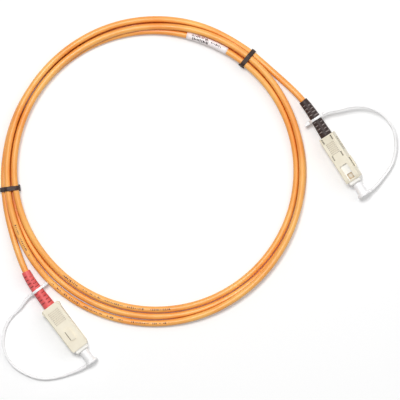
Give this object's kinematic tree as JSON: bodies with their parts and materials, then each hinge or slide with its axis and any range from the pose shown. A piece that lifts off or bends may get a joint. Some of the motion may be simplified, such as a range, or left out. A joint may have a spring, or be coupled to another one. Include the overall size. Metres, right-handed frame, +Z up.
{
  "type": "fibre optic test cord",
  "caption": "Coiled simplex fibre test cord with push-pull square plugs, strain-relief boots, tethered dust caps and ties.",
  "frame": {"origin": "centre of the cord's box on the surface that it lies on", "axes": "+Z up from that surface, +X along the longest side of the box, +Y towards the top of the coil"},
  "size_m": [0.1868, 0.1711, 0.011],
  "materials": {
    "jacket_orange": "satin extruded jacket",
    "housing_beige": "fine moulded texture",
    "inner_cream": "smooth moulded",
    "ferrule_ceramic": "ground and polished",
    "flange_steel": "turned",
    "spring_steel": "drawn wire",
    "crimp_brass": "plated and crimped",
    "boot_red": "satin moulded",
    "boot_black": "satin moulded",
    "buffer_white": "extruded",
    "tether_white": "translucent soft moulding",
    "label_white": "printed film wrap",
    "tie_black": "moulded nylon"
  },
  "bodies": {
    "root": {"cable": "jacket_orange", "label_sleeve": "label_white", "tie_left": "tie_black", "tie_top": "tie_black", "inner_body_red": "inner_cream", "spring_red": "spring_steel", "stop_ring_red": "flange_steel", "crimp_sleeve_red": "crimp_brass", "boot_red": "boot_red", "tether_ring_red": "tether_white", "tether_strap_red": "tether_white", "inner_body_black": "inner_cream", "spring_black": "spring_steel", "stop_ring_black": "flange_steel", "crimp_sleeve_black": "crimp_brass", "boot_black": "boot_black", "tether_ring_black": "tether_white", "tether_strap_black": "tether_white"},
    "housing_red": {"outer_housing_red": "housing_beige"},
    "ferrule_red": {"ferrule_red": "ferrule_ceramic", "ferrule_flange_red": "flange_steel", "buffered_fibre_red": "buffer_white"},
    "cap_red": {"dust_cap_red": "tether_white"},
    "housing_black": {"outer_housing_black": "housing_beige"},
    "ferrule_black": {"ferrule_black": "ferrule_ceramic", "ferrule_flange_black": "flange_steel", "buffered_fibre_black": "buffer_white"},
    "cap_black": {"dust_cap_black": "tether_white"}
  },
  "joints": [
    {"name": "housing_slide_red", "type": "slide", "parent": "root", "child": "housing_red", "axis": [0.6046, -0.7965, 0], "range_m": [-0.002, 0]},
    {"name": "ferrule_slide_red", "type": "slide", "parent": "root", "child": "ferrule_red", "axis": [0.6046, -0.7965, 0], "range_m": [-0.0015, 0], "stiffness_N_per_m": 2000, "springref_m": 0.004, "deforming": ["spring_red"]},
    {"name": "cap_pull_red", "type": "slide", "parent": "root", "child": "cap_red", "axis": [0.6046, -0.7965, 0], "range_m": [0, 0.009]},
    {"name": "housing_slide_black", "type": "slide", "parent": "root", "child": "housing_black", "axis": [0.5373, -0.8434, 0], "range_m": [-0.002, 0]},
    {"name": "ferrule_slide_black", "type": "slide", "parent": "root", "child": "ferrule_black", "axis": [0.5373, -0.8434, 0], "range_m": [-0.0015, 0], "stiffness_N_per_m": 2000, "springref_m": 0.004, "deforming": ["spring_black"]},
    {"name": "cap_pull_black", "type": "slide", "parent": "root", "child": "cap_black", "axis": [0.5373, -0.8434, 0], "range_m": [0, 0.009]}
  ]
}
